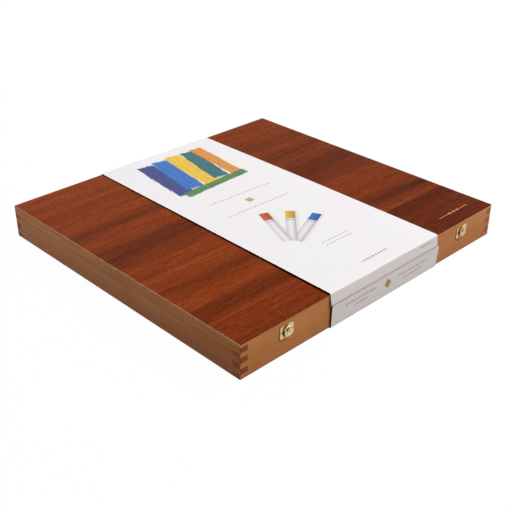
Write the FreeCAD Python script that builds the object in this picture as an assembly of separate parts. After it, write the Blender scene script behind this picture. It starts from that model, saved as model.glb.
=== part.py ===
"""A flat wooden case for thirty-six colour sticks, with a hinged lid, two brass catches and a card band.

Millimetres. +X runs along the front to the right, +Y from the front to the hinges, +Z up.
The origin is on the table, under the middle of the case.
"""

import FreeCAD, Part
import math
import os

Vector = FreeCAD.Vector

# Case, outside
case_width = 450.0
case_depth = 426.0
base_height = 30.8
lid_wall_height = 10.0
board_thickness = 11.0
core_thickness = 3.2
veneer_thickness = 0.6
front_leaf_depth = 81.0  # the veneer leaf along the front edge
bottom_round = 3.0
top_round = 0.6
corner_round = 1.2

# Finger joints
finger_height = 7.0
bottom_finger_height = 7.9
least_finger = 0.6

# Bottom panel, housed in grooves in the four base boards
floor_thickness = 4.0
floor_lift = 3.0
groove_depth = 5.0

# Card band, folded round the case and tucked in between the rims
card_thickness = 0.22
tuck_clearance = 0.12
tuck_depth = 9.0
band_width = 196.0
band_middle = 7.8
band_skew = 2.4  # how far the lower half lies to the right of the upper
flap_gap_top = 0.5  # between the lid's front and the band's upper flap
flap_gap_bottom = 1.8
apron_gap_top = 2.0  # between the base's front and the band's lower flap
apron_gap_bottom = 0.4
cover_gap = 0.8
spine_gap = 0.3
spine_split = 0.6
tuck_round = 0.7
apron_round = 0.9
fold_round = 1.6
under_round = 2.4

# Sticks and their foam beds
column_count = 12
row_names = ("front", "middle", "back")
stick_radius = 9.6
wrapper_thickness = 0.25
wrapper_fit = 0.02
stick_gap = 0.3
stick_end_gap = 3.0
tip_length = 9.0
tip_radius = 6.4
stick_ease = 0.9
bare_length = 24.0  # of pigment that shows in front of the wrapper
bed_height = 14.5
bed_floor = 3.0
bed_gap = 0.3
strip_thickness = 5.0
pad_thickness = 6.0
pad_gap = 1.5

# Hinges
hinge_inset = 67.0  # from the end of the case to the middle of the hinge
hinge_length = 32.0
leaf_width = 9.5
leaf_thickness = 1.0
leaf_gap = 0.3
knuckle_radius = 2.2
knuckle_clearance = 0.3
knuckle_gap = 0.2
knuckle_count = 5
hinge_pin_radius = 0.9
running_clearance = 0.05
mortise_clearance = 0.1
screw_spacing = 11.0
screw_inset = 5.0
screw_head_radius = 1.9
screw_head_height = 0.9
screw_radius = 0.9
screw_length = 7.5
screw_point = 1.6
slot_width = 0.45
slot_depth = 0.35

# Catches
catch_inset = 67.0
catch_width = 20.4
plate_thickness = 0.6
plate_margin = 0.3
plate_outer_round = 2.2
plate_inner_round = 0.5
keeper_height = 7.4
anchor_height = 7.2
nail_edge = 2.5
nail_head_radius = 1.1
nail_head_height = 0.4
nail_radius = 0.5
nail_length = 7.0
nail_point = 1.2
axis_stand = 1.8  # of the lever's pin, from the wood
axis_rise = 1.8  # of the lever's pin, above the anchor plate's lower edge
catch_pin_radius = 0.5
catch_pin_proud = 0.25
barrel_radius = 1.0
barrel_gap = 0.25
lug_thickness = 0.8
lug_radius = 1.1
neck_width = 5.2
neck_height = 2.2
lever_round = 1.0
lever_width = 9.6
lever_reach = 12.8
lever_thickness = 0.6
lever_rim_depth = 0.5
window_width = 6.2
window_low = 6.4
window_high = 11.2
dimple_radius = 0.7
dimple_spread = 1.9
dimple_rise = 4.4
lip_radius = 0.7
lip_width = 4.0
lip_drop = 0.5
hook_width = 3.8
hook_root = 0.7  # how far the hook's tongue runs down into the keeper plate
hook_stand = 3.6
hook_low = 7.9
hook_high = 10.0
hook_root_round = 0.5
hook_round = 0.9
anchor_well_width = 12.4  # of the anchor plate's opening behind the lever, open at its top
anchor_well_low = 1.6
keeper_well_width = 9.4  # of the keeper plate's arched opening round the hook
keeper_well_low = 7.6
keeper_well_high = 12.6

overrun = 1.0  # how far a cutting tool runs past what it cuts

# Levels and places that follow from the sizes above
row_count = len(row_names)
parting_gap = 2 * card_thickness + tuck_clearance
base_low = card_thickness
base_top = base_low + base_height
lid_low = base_top + parting_gap
core_low = lid_low + lid_wall_height
veneer_low = core_low + core_thickness
lid_top = veneer_low + veneer_thickness
half_width = case_width / 2
half_depth = case_depth / 2
inner_half_width = half_width - board_thickness
inner_half_depth = half_depth - board_thickness
floor_top = base_low + floor_lift + floor_thickness

# Each board's extent in plan, and which of the finger joint's bands are its own
board_plans = {
    "front": (-half_width, half_width, -half_depth, -inner_half_depth),
    "back": (-half_width, half_width, inner_half_depth, half_depth),
    "left": (-half_width, -inner_half_width, -half_depth, half_depth),
    "right": (inner_half_width, half_width, -half_depth, half_depth),
}
board_owners = {"front": "front", "back": "front", "left": "side", "right": "side"}

hinge_y = half_depth + knuckle_radius + knuckle_clearance
hinge_z = base_top + parting_gap / 2
hinge_places = {"left": hinge_inset - half_width, "right": half_width - hinge_inset}
catch_places = {"left": catch_inset - half_width, "right": half_width - catch_inset}

anchor_high = base_top - plate_margin
anchor_low = anchor_high - anchor_height
keeper_low = lid_low + plate_margin
keeper_high = keeper_low + keeper_height
catch_y = -half_depth - axis_stand
catch_z = anchor_low + axis_rise

wrapper_radius = stick_radius + wrapper_fit + wrapper_thickness
groove_radius = wrapper_radius + stick_gap
stick_z = floor_top + bed_floor + groove_radius
column_pitch = 2 * inner_half_width / column_count
bed_depth = (2 * inner_half_depth - (row_count - 1) * strip_thickness) / row_count
row_pitch = bed_depth + strip_thickness
stick_length = bed_depth - 2 * stick_end_gap

band_left = band_middle - band_width / 2
band_right = band_middle + band_width / 2


def block(x_low, x_high, y_low, y_high, z_low, z_high):
    corner = Vector(x_low, y_low, z_low)
    return Part.makeBox(x_high - x_low, y_high - y_low, z_high - z_low, corner)


def rod(radius, start, end):
    along = end - start
    return Part.makeCylinder(radius, along.Length, start, along)


def rod_along_x(radius, x_low, x_high, y, z):
    return rod(radius, Vector(x_low, y, z), Vector(x_high, y, z))


def join(shapes):
    shapes = list(shapes)
    return shapes[0].multiFuse(shapes[1:]) if len(shapes) > 1 else shapes[0]


def group(shapes):
    return Part.makeCompound(list(shapes))


def corner_arc(before, corner, after, radius):
    """Start, middle and end of the arc that rounds one corner of an outline."""
    back = (before - corner).normalize()
    ahead = (after - corner).normalize()
    half_angle = back.getAngle(ahead) / 2
    inward = (back + ahead).normalize()
    setback = radius / math.tan(half_angle)
    centre = corner + inward * (radius / math.sin(half_angle))
    return corner + back * setback, centre - inward * radius, corner + ahead * setback


def rounded_edges(points, radii, closed):
    """Straight edges through the points, joined by arcs where a point has a radius."""
    count = len(points)
    edges, first, last = [], None, None
    for i, (point, radius) in enumerate(zip(points, radii)):
        on_end = not closed and i in (0, count - 1)
        if radius and not on_end:
            start, middle, end = corner_arc(points[i - 1], point, points[(i + 1) % count], radius)
            arc = Part.Arc(start, middle, end).toShape()
        else:
            start, end, arc = point, point, None
        if last is not None:
            edges.append(Part.makeLine(last, start))
        if arc is not None:
            edges.append(arc)
        first = start if first is None else first
        last = end
    if closed:
        edges.append(Part.makeLine(last, first))
    return edges, first, last


def closed_face(points, radii):
    edges, _, _ = rounded_edges(points, radii, True)
    return Part.Face(Part.Wire(edges))


def prism(points, radii, along):
    return closed_face(points, radii).extrude(along)


def rectangle(u_axis, v_axis, corner, u_low, u_high, v_low, v_high):
    return [
        corner + u_axis * u + v_axis * v
        for u, v in ((u_low, v_low), (u_high, v_low), (u_high, v_high), (u_low, v_high))
    ]


def folded_strip(points, radii, thickness, x_low, x_high):
    """A sheet of even thickness that follows points in the YZ plane, and spans x_low to x_high."""
    path = [Vector(x_low, y, z) for y, z in points]
    runs = [(b - a).normalize() for a, b in zip(path, path[1:])]
    normals = [Vector(0, -run.z, run.y) for run in runs]
    outlines = []
    for shift in (thickness / 2, -thickness / 2):
        moved, turned = [], []
        for i, point in enumerate(path):
            before = normals[max(i - 1, 0)]
            after = normals[min(i, len(normals) - 1)]
            moved.append(point + (before + after) * (shift / (1 + before.dot(after))))
            turned.append(radii[i] - shift * math.copysign(1, before.cross(after).x))
        outlines.append(rounded_edges(moved, turned, False))
    (left, left_first, left_last), (right, right_first, right_last) = outlines
    caps = [Part.makeLine(left_last, right_last), Part.makeLine(right_first, left_first)]
    wire = Part.Wire(Part.__sortEdges__(left + right + caps))
    return Part.Face(wire).extrude(Vector(x_high - x_low, 0, 0))


def finger_bands(start, end, first_height, first_owner):
    """The (low, high, owner) bands of a corner's finger joint, counted from start towards end."""
    way = math.copysign(1, end - start)
    span = abs(end - start)
    edges, reached = [0], first_height
    while reached < span - least_finger:
        edges.append(reached)
        reached += finger_height
    edges.append(span)
    owners = ("front", "side") if first_owner == "front" else ("side", "front")
    bands = []
    for i, (near, far) in enumerate(zip(edges, edges[1:])):
        low, high = sorted((start + way * near, start + way * far))
        bands.append((low, high, owners[i % 2]))
    return bands


def eased_outside(low, high, lower_round, upper_round):
    """The whole outside of one half of the case, with its arrises rounded."""
    x_axis, y_axis, z_axis = Vector(1, 0, 0), Vector(0, 1, 0), Vector(0, 0, 1)
    edge_radii = (lower_round, lower_round, upper_round, upper_round)
    plan = prism(
        rectangle(x_axis, y_axis, z_axis * low, -half_width, half_width, -half_depth, half_depth),
        (corner_round,) * 4,
        z_axis * (high - low),
    )
    from_front = prism(
        rectangle(x_axis, z_axis, y_axis * -half_depth, -half_width, half_width, low, high),
        edge_radii,
        y_axis * case_depth,
    )
    from_side = prism(
        rectangle(y_axis, z_axis, x_axis * -half_width, -half_depth, half_depth, low, high),
        edge_radii,
        x_axis * case_width,
    )
    return plan.common(from_front).common(from_side)


def case_board(side, low, high, bands, outside, cutters):
    """One board of one half of the case, without its neighbours' fingers and the cutters."""
    owner = board_owners[side]
    fingers = [
        block(*board_plans[other], z_low, z_high)
        for other in board_plans
        if board_owners[other] != owner
        for z_low, z_high, band_owner in bands
        if band_owner != owner
    ]
    return block(*board_plans[side], low, high).cut(fingers + cutters).common(outside)


def floor_panel():
    reach_x = inner_half_width + groove_depth
    reach_y = inner_half_depth + groove_depth
    low = base_low + floor_lift
    return block(-reach_x, reach_x, -reach_y, reach_y, low, low + floor_thickness)


def screw(head, down):
    """A countersunk wood screw: head is the middle of its face, and down is -1 or 1 along Z."""
    along = Vector(0, 0, down)
    cone = Part.makeCone(screw_head_radius, screw_radius, screw_head_height, head, along)
    point_start = head + along * (screw_length - screw_point)
    shank = rod(screw_radius, head, point_start)
    point = Part.makeCone(screw_radius, 0, screw_point, point_start, along)
    return join([cone, shank, point])


def screw_slot(head, down):
    z_low, z_high = sorted((head.z - down * overrun, head.z + down * slot_depth))
    reach = screw_head_radius + overrun
    return block(
        head.x - reach, head.x + reach, head.y - slot_width / 2, head.y + slot_width / 2, z_low, z_high
    )


def hinge_leaf(x_middle, side):
    """One leaf with its share of the knuckles: side is -1 for the base and 1 for the lid."""
    x_low, x_high = x_middle - hinge_length / 2, x_middle + hinge_length / 2
    z_low, z_high = sorted(
        (hinge_z + side * leaf_gap / 2, hinge_z + side * (leaf_gap / 2 + leaf_thickness))
    )
    plate_end = hinge_y - knuckle_radius - knuckle_gap
    parts = [block(x_low, x_high, half_depth - leaf_width, plate_end, z_low, z_high)]
    step = hinge_length / knuckle_count
    for k in range(0 if side < 0 else 1, knuckle_count, 2):
        start = x_low + k * step + (knuckle_gap / 2 if k else 0)
        end = x_low + (k + 1) * step - (knuckle_gap / 2 if k < knuckle_count - 1 else 0)
        parts.append(block(start, end, half_depth, hinge_y, z_low, z_high))
        parts.append(rod_along_x(knuckle_radius, start, end, hinge_y, hinge_z))
    bore_radius = hinge_pin_radius + (running_clearance if side > 0 else 0)
    bore = rod_along_x(bore_radius, x_low - overrun, x_high + overrun, hinge_y, hinge_z)
    return join(parts).cut(bore).removeSplitter()


def hinge_mortise(x_middle, side):
    reach = hinge_length / 2 + mortise_clearance
    z_low, z_high = sorted(
        (hinge_z - side * overrun, hinge_z + side * (leaf_gap / 2 + leaf_thickness))
    )
    y_low = half_depth - leaf_width - mortise_clearance
    return block(x_middle - reach, x_middle + reach, y_low, half_depth + overrun, z_low, z_high)


def hinge_screw_heads(x_middle, side):
    z = hinge_z + side * leaf_gap / 2
    y = half_depth - screw_inset
    return [Vector(x_middle + offset, y, z) for offset in (-screw_spacing, 0, screw_spacing)]


def nail(x, z):
    """A dome-headed brass pin, driven square into the front of the case through a catch plate."""
    seat = Vector(x, -half_depth - plate_thickness, z)
    outward, inward = Vector(0, -1, 0), Vector(0, 1, 0)
    dome_radius = (nail_head_radius**2 + nail_head_height**2) / (2 * nail_head_height)
    dome = Part.makeSphere(dome_radius, seat + outward * (nail_head_height - dome_radius))
    head = dome.common(rod(nail_head_radius, seat, seat + outward * nail_head_height))
    shank_end = seat + inward * (nail_length - nail_point)
    shank = rod(nail_radius, seat, shank_end)
    point = Part.makeCone(nail_radius, 0, nail_point, shank_end, inward)
    return join([head, shank, point])


def catch_nails(x_middle, z_low, z_high):
    spread = catch_width / 2 - nail_edge
    return [nail(x_middle + side * spread, (z_low + z_high) / 2) for side in (-1, 1)]


def catch_plate(x_middle, inner_z, outer_z):
    """A flat brass plate from the rim at inner_z out to outer_z, where its corners are rounder."""
    wood = Vector(x_middle, -half_depth, 0)
    reach = catch_width / 2
    outline = rectangle(Vector(1, 0, 0), Vector(0, 0, 1), wood, -reach, reach, inner_z, outer_z)
    corners = (plate_inner_round, plate_inner_round, plate_outer_round, plate_outer_round)
    return prism(outline, corners, Vector(0, -plate_thickness, 0))


def arch(start, width, low, high, depth):
    """A plate with square shoulders and a round top, standing on start and depth thick along Y."""
    half = width / 2
    corners = [
        start + Vector(u, 0, v)
        for u, v in ((-half, high - half), (-half, low), (half, low), (half, high - half))
    ]
    edges = [Part.makeLine(a, b) for a, b in zip(corners, corners[1:])]
    edges.append(Part.Arc(corners[3], start + Vector(0, 0, high), corners[0]).toShape())
    return Part.Face(Part.Wire(edges)).extrude(Vector(0, depth, 0))


def anchor_plate(x_middle):
    """The catch's lower plate, with the two lugs that carry the lever's pin."""
    lug_start = neck_width / 2 + barrel_gap
    parts = [catch_plate(x_middle, anchor_high, anchor_low)]
    for side in (-1, 1):
        x_low, x_high = sorted(
            (x_middle + side * lug_start, x_middle + side * (lug_start + lug_thickness))
        )
        parts.append(
            block(x_low, x_high, catch_y, -half_depth, catch_z - lug_radius, catch_z + lug_radius)
        )
        parts.append(rod_along_x(lug_radius, x_low, x_high, catch_y, catch_z))
    reach = lug_start + lug_thickness + overrun
    bore = rod_along_x(catch_pin_radius, x_middle - reach, x_middle + reach, catch_y, catch_z)
    opening = block(
        x_middle - anchor_well_width / 2,
        x_middle + anchor_well_width / 2,
        -half_depth - plate_thickness - overrun,
        -half_depth + overrun,
        catch_z + anchor_well_low,
        anchor_high + overrun,
    )
    return join(parts).cut([opening, bore] + catch_nails(x_middle, anchor_low, anchor_high))


def keeper_plate(x_middle):
    """The catch's upper plate; its hook is a tongue bent out of the arched opening's lower edge."""
    front = Vector(x_middle, -half_depth - plate_thickness - overrun, catch_z)
    depth = plate_thickness + 2 * overrun
    opening = arch(front, keeper_well_width, keeper_well_low, keeper_well_high, depth)
    plate = catch_plate(x_middle, keeper_low, keeper_high).cut(opening)
    root_y, nose_y = -half_depth - plate_thickness / 2, -half_depth - hook_stand
    shelf_z = catch_z + hook_low + plate_thickness / 2
    hook = folded_strip(
        [
            (root_y, catch_z + keeper_well_low - hook_root),
            (root_y, shelf_z),
            (nose_y, shelf_z),
            (nose_y, catch_z + hook_high),
        ],
        (0, hook_root_round, hook_round, 0),
        plate_thickness,
        x_middle - hook_width / 2,
        x_middle + hook_width / 2,
    )
    nails = catch_nails(x_middle, keeper_low, keeper_high)
    return join([plate, hook]).cut(nails).removeSplitter()


def catch_lever(x_middle):
    """The swinging loop: a barrel round the pin, and an arched plate with a rim, a window and two holes."""
    outer_y = catch_y - barrel_radius
    start = Vector(x_middle, outer_y, catch_z)
    rim_depth = lever_thickness + lever_rim_depth
    shell = arch(start, lever_width, neck_height, lever_reach, rim_depth)
    lower_corners = [
        edge
        for edge in shell.Edges
        if edge.CenterOfMass.z < catch_z + window_low
        and edge.BoundBox.YLength > edge.BoundBox.XLength + edge.BoundBox.ZLength
    ]
    shell = shell.makeFillet(lever_round, lower_corners)
    behind = start + Vector(0, lever_thickness, 0)
    inner_width = lever_width - 2 * lever_thickness
    hollow = arch(behind, inner_width, -overrun, lever_reach - lever_thickness, rim_depth)
    window = arch(
        start - Vector(0, overrun, 0), window_width, window_low, window_high, rim_depth + overrun
    )
    neck_x = (x_middle - neck_width / 2, x_middle + neck_width / 2)
    plate_y = (outer_y, outer_y + lever_thickness)
    neck = block(*neck_x, *plate_y, catch_z, catch_z + neck_height + lever_round)
    holes = []
    for side in (-1, 1):
        front = Vector(x_middle + side * dimple_spread, outer_y - overrun, catch_z + dimple_rise)
        holes.append(rod(dimple_radius, front, front + Vector(0, 2 * overrun + lever_thickness, 0)))
    barrel = rod_along_x(barrel_radius, *neck_x, catch_y, catch_z)
    lip_x = (x_middle - lip_width / 2, x_middle + lip_width / 2)
    lip = rod_along_x(lip_radius, *lip_x, outer_y, catch_z + lever_reach - lip_drop)
    bore = rod_along_x(
        catch_pin_radius + running_clearance,
        x_middle - neck_width,
        x_middle + neck_width,
        catch_y,
        catch_z,
    )
    plate = shell.cut([hollow, window])
    return join([plate, neck, barrel, lip]).cut(holes + [bore]).removeSplitter()


def catch_pin(x_middle):
    reach = neck_width / 2 + barrel_gap + lug_thickness + catch_pin_proud
    return rod_along_x(catch_pin_radius, x_middle - reach, x_middle + reach, catch_y, catch_z)


def band_base_half():
    """The band's lower flap, its run under the case, and its spine up to the hinge line."""
    half_card = card_thickness / 2
    rim_z = base_top + half_card
    spine_y = half_depth + spine_gap + half_card
    points = [
        (-half_depth + tuck_depth, rim_z),
        (-half_depth - apron_gap_top - half_card, rim_z),
        (-half_depth - apron_gap_bottom - half_card, half_card),
        (spine_y, half_card),
        (spine_y, hinge_z - spine_split / 2),
    ]
    radii = (0, apron_round, under_round, fold_round, 0)
    left, right = band_left + band_skew, band_right + band_skew
    return folded_strip(points, radii, card_thickness, left, right)


def band_lid_half():
    """The band's upper flap, its run over the lid, and its spine down to the hinge line."""
    half_card = card_thickness / 2
    rim_z = lid_low - half_card
    cover_z = lid_top + cover_gap + half_card
    spine_y = half_depth + spine_gap + half_card
    points = [
        (-half_depth + tuck_depth, rim_z),
        (-half_depth - flap_gap_bottom - half_card, rim_z),
        (-half_depth - flap_gap_top - half_card, cover_z),
        (spine_y, cover_z),
        (spine_y, hinge_z + spine_split / 2),
    ]
    radii = (0, tuck_round, fold_round, fold_round, 0)
    return folded_strip(points, radii, card_thickness, band_left, band_right)


def row_start(row):
    return -inner_half_depth + row * row_pitch


def column_x(column):
    return -inner_half_width + (column + 1 / 2) * column_pitch


def stick_bed(row):
    """A foam block with a round-bottomed groove for each stick of the row."""
    y_low, y_high = row_start(row) + bed_gap, row_start(row) + bed_depth - bed_gap
    reach = inner_half_width - bed_gap
    bed = block(-reach, reach, y_low, y_high, floor_top, floor_top + bed_height)
    grooves = []
    for column in range(column_count):
        x = column_x(column)
        start, end = Vector(x, y_low - overrun, stick_z), Vector(x, y_high + overrun, stick_z)
        grooves.append(rod(groove_radius, start, end))
        grooves.append(
            block(
                x - groove_radius,
                x + groove_radius,
                start.y,
                end.y,
                stick_z,
                floor_top + bed_height + overrun,
            )
        )
    return bed.cut(grooves)


def foam_strip(row):
    """The foam strip between one row's bed and the next."""
    reach = inner_half_width - bed_gap
    y_low = row_start(row) + bed_depth
    return block(-reach, reach, y_low, y_low + strip_thickness, floor_top, floor_top + bed_height)


def colour_stick(row, column):
    """One stick of pigment, lying along Y with its tapered tip to the back."""
    ends = (0, stick_length)
    profile = [
        (0, ends[0]),
        (stick_radius - stick_ease, ends[0]),
        (stick_radius, ends[0] + stick_ease),
        (stick_radius, ends[1] - tip_length),
        (tip_radius, ends[1] - stick_ease),
        (tip_radius - stick_ease, ends[1]),
        (0, ends[1]),
    ]
    origin = Vector(column_x(column), row_start(row) + stick_end_gap, stick_z)
    points = [origin + Vector(radius, along, 0) for radius, along in profile]
    face = Part.Face(Part.makePolygon(points + points[:1]))
    return face.revolve(origin, Vector(0, 1, 0), 360)


def stick_wrapper(row, column):
    start = Vector(column_x(column), row_start(row) + stick_end_gap + stick_ease, stick_z)
    end = start + Vector(0, stick_length - bare_length - stick_ease, 0)
    past = Vector(0, overrun, 0)
    return rod(wrapper_radius, start, end).cut(rod(stick_radius + wrapper_fit, start - past, end + past))


def lid_pad():
    reach_x, reach_y = inner_half_width - pad_gap, inner_half_depth - pad_gap
    return block(-reach_x, reach_x, -reach_y, reach_y, core_low - pad_thickness, core_low)


def hinge_screws(side):
    """Both hinges' screws in one half of the case: side is -1 for the base and 1 for the lid."""
    heads = [head for x in hinge_places.values() for head in hinge_screw_heads(x, side)]
    return heads, [screw(head, side) for head in heads]


def base_nodes():
    floor = floor_panel()
    nails = [n for x in catch_places.values() for n in catch_nails(x, anchor_low, anchor_high)]
    mortises = [hinge_mortise(x, -1) for x in hinge_places.values()]
    cutters = {"front": nails, "back": hinge_screws(-1)[1] + mortises}
    bands = finger_bands(base_low, base_top, bottom_finger_height, "front")
    outside = eased_outside(base_low, base_top, bottom_round, 0)
    nodes = {
        f"base_{side}_board": case_board(
            side, base_low, base_top, bands, outside, cutters.get(side, []) + [floor]
        )
        for side in board_plans
    }
    nodes["base_bottom_panel"] = floor
    nodes["catch_nails_base"] = group(nails)
    return nodes


def lid_nodes():
    nails = [n for x in catch_places.values() for n in catch_nails(x, keeper_low, keeper_high)]
    mortises = [hinge_mortise(x, 1) for x in hinge_places.values()]
    cutters = {"front": nails, "back": hinge_screws(1)[1] + mortises}
    bands = finger_bands(core_low, lid_low, finger_height, "side")
    outside = eased_outside(lid_low, lid_top, 0, top_round)
    nodes = {
        f"lid_{side}_board": case_board(
            side, lid_low, core_low, bands, outside, cutters.get(side, [])
        )
        for side in board_plans
    }
    seam_y = front_leaf_depth - half_depth
    for name, y_low, y_high, z_low, z_high in (
        ("panel_core", -half_depth, half_depth, core_low, veneer_low),
        ("veneer_front_leaf", -half_depth, seam_y, veneer_low, lid_top),
        ("veneer_rear_leaf", seam_y, half_depth, veneer_low, lid_top),
    ):
        sheet = block(-half_width, half_width, y_low, y_high, z_low, z_high)
        nodes[f"lid_{name}"] = sheet.common(outside)
    nodes["lid_foam_pad"] = lid_pad()
    nodes["catch_nails_lid"] = group(nails)
    return nodes


def hinge_nodes():
    nodes = {}
    for half, side in (("base", -1), ("lid", 1)):
        heads, screws = hinge_screws(side)
        nodes[f"hinge_screws_{half}"] = group(
            shape.cut(screw_slot(head, side)) for head, shape in zip(heads, screws)
        )
        for end, x in hinge_places.items():
            nodes[f"hinge_{end}_{half}_leaf"] = hinge_leaf(x, side).cut(screws)
    for end, x in hinge_places.items():
        x_low, x_high = x - hinge_length / 2, x + hinge_length / 2
        nodes[f"hinge_{end}_pin"] = rod_along_x(hinge_pin_radius, x_low, x_high, hinge_y, hinge_z)
    return nodes


def catch_nodes():
    nodes = {}
    for end, x in catch_places.items():
        nodes[f"catch_{end}_anchor_plate"] = anchor_plate(x)
        nodes[f"catch_{end}_keeper_plate"] = keeper_plate(x)
        nodes[f"catch_{end}_lever"] = catch_lever(x)
        nodes[f"catch_{end}_pin"] = catch_pin(x)
    return nodes


def content_nodes():
    """The foam beds and strips in the base, and the sticks with their paper wrappers."""
    nodes = {}
    columns = range(column_count)
    for row, name in enumerate(row_names):
        nodes[f"foam_bed_{name}"] = stick_bed(row)
        nodes[f"wrappers_{name}_row"] = group(stick_wrapper(row, column) for column in columns)
    for row, name in enumerate(row_names[:-1]):
        nodes[f"foam_strip_behind_{name}"] = foam_strip(row)
    for column in columns:
        nodes[f"sticks_column_{column + 1:02d}"] = group(
            colour_stick(row, column) for row in range(row_count)
        )
    return nodes


def build():
    """Every node of the case by name."""
    band = {"card_band_base_half": band_base_half(), "card_band_lid_half": band_lid_half()}
    return {**base_nodes(), **lid_nodes(), **hinge_nodes(), **catch_nodes(), **band, **content_nodes()}


def main():
    os.makedirs("parts", exist_ok=True)
    for name, shape in build().items():
        shape.exportStep(f"parts/{name}.step")


main()
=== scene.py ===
import math

import bmesh
import bpy
from mathutils import Matrix, Vector, noise


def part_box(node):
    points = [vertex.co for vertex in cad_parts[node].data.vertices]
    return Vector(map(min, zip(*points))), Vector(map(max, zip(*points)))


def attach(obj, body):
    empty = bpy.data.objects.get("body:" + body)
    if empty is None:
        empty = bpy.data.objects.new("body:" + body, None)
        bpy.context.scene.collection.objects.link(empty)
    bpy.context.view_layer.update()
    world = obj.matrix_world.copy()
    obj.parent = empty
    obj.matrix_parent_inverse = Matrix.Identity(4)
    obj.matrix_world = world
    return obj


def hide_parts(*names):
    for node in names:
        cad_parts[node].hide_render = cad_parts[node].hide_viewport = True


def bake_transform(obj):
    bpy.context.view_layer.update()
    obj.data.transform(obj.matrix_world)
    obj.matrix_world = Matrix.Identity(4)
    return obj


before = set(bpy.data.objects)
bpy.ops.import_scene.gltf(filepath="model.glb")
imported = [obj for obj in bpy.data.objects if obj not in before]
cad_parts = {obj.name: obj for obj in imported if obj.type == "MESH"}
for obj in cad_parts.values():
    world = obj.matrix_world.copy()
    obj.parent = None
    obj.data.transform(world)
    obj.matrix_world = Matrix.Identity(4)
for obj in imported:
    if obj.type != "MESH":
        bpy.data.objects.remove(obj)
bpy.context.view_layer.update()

# Lengths are in metres. These repeat the named sizes of the CAD source.
mm = 0.001
half_width = 225 * mm
half_depth = 213 * mm
base_top = 31.02 * mm
lid_low = 31.58 * mm
lid_top = 45.38 * mm
hinge_z = 31.30 * mm
stick_z = 20.39 * mm
catch_x = 158 * mm
catch_z = 31.4 * mm
catch_width = 20.4 * mm
catch_height = 15.8 * mm
groove_radius = 10.17 * mm
column_count = 12
row_pitch = 136.333 * mm
inner_half_width = 214 * mm
inner_half_depth = 202 * mm
column_pitch = 2 * inner_half_width / column_count

# The wood and the veneer
catch_shade_z = 32 * mm  # middle of the painted shade on the wood behind each catch
catch_shade_half_width = 6.5 * mm
catch_shade_half_height = 6 * mm
ribbon_wander = 12 * mm  # width of the strip in which a dark ribbon's middle strays

# The card band, and its upper part
card_thickness = 0.22 * mm
band_left = -90.2 * mm
band_right = 105.8 * mm
tuck_depth = 9.0 * mm
tuck_round = 0.35 * mm
cover_gap = 0.8 * mm
cover_out = 0.8 * mm  # of its left edge in front, past the band's own
cover_in = 1.2 * mm  # of its right edge in front, short of the band's own
cover_left_skew = 4.0 * mm  # how much further right the left edge lies at the back
cover_right_skew = -0.3 * mm  # and the right edge
cover_right_bow = 1.4 * mm  # how far the right edge curves out between front and back
cover_lift = 0.25 * mm  # of its left edge, at the back
cover_front_lift = 1.05 * mm  # what is added to that in front
cover_lift_share = 0.38  # of its width, over which the left edge lifts
cover_bulge = 0.25 * mm
cover_ripple = 0.18 * mm
ripple_across = 3.1  # waves in its width
ripple_along = 11  # waves in a metre of its depth
ripple_seed = 3.1
rear_curl = 0.9 * mm
rear_curl_reach = 60 * mm
rear_curl_shares = (0.02, 0.6)  # of its width, between which its rear edge curls up
flap_gap_top = 0.6 * mm
flap_gap_bottom = 2.2 * mm
flap_taper = 1.2 * mm  # how far the upper flap's left edge runs in towards its foot
front_fold_round = 1.9 * mm

# The card band's lower part, whose front flap is the apron
tuck_droop = 0.7 * mm  # how far the fold hangs below the rim it starts from
apron_top = base_top - tuck_droop
apron_gap_top = 1.1 * mm
apron_gap_bottom = 1.0 * mm
apron_left_in = 2.4 * mm  # of its left edge, right of the band's own
apron_right_out = 1.2 * mm  # of its right edge at the foot, past the band's own
apron_flare = 2.4 * mm  # how much further right it reaches at its top
apron_corner = 3.2 * mm  # height of its rounded top corners
apron_left_corner = 1.2 * mm  # their widths
apron_right_corner = 3.4 * mm
apron_turn = 2 * mm  # depth over which the corners' rounding dies away on the fold
apron_bow = 0.35 * mm
apron_lift = 0.7 * mm  # how far its ends stand off at the top
apron_left_lift_share = 0.25  # of its width, over which its left end stands off
apron_right_lift_share = 0.3
apron_wave_top = base_top - 1.5 * mm
apron_wave_reach = 0.5 * mm  # in front of the case, from where on its waves are whole
apron_round = 0.4 * mm
brow_round = 0.2 * mm
under_round = 2.4 * mm
back_fold_round = 1.6 * mm

# The strip between the two at the hinge line, and the steps of all three
spine_gap = 0.3 * mm
spine_reach = 2.5 * mm  # each way from the hinge line
column_step = 4 * mm
path_step = 6 * mm

# The meshes of the card and the foam
weld_distance = 1e-7
sharp_angle = math.radians(40)
bed_skin = 0.05 * mm  # depth of the beds' uneven skin
bed_grain = 90
block_grain = 60

# The camera stands where the photograph's perspective puts it
camera_place = (-0.70840, -0.73214, 0.55832)
camera_yaw = math.radians(44.2340)
camera_pitch = math.radians(30.0523)
camera_roll = math.radians(0.2108)
camera_lens = 61.7426


def tone(red, green, blue):
    """A linear colour from display values of 0 to 255."""
    linear = []
    for value in (red, green, blue):
        share = value / 255
        linear.append(share / 12.92 if share <= 0.04045 else ((share + 0.055) / 1.055) ** 2.4)
    return (*linear, 1.0)


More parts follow.
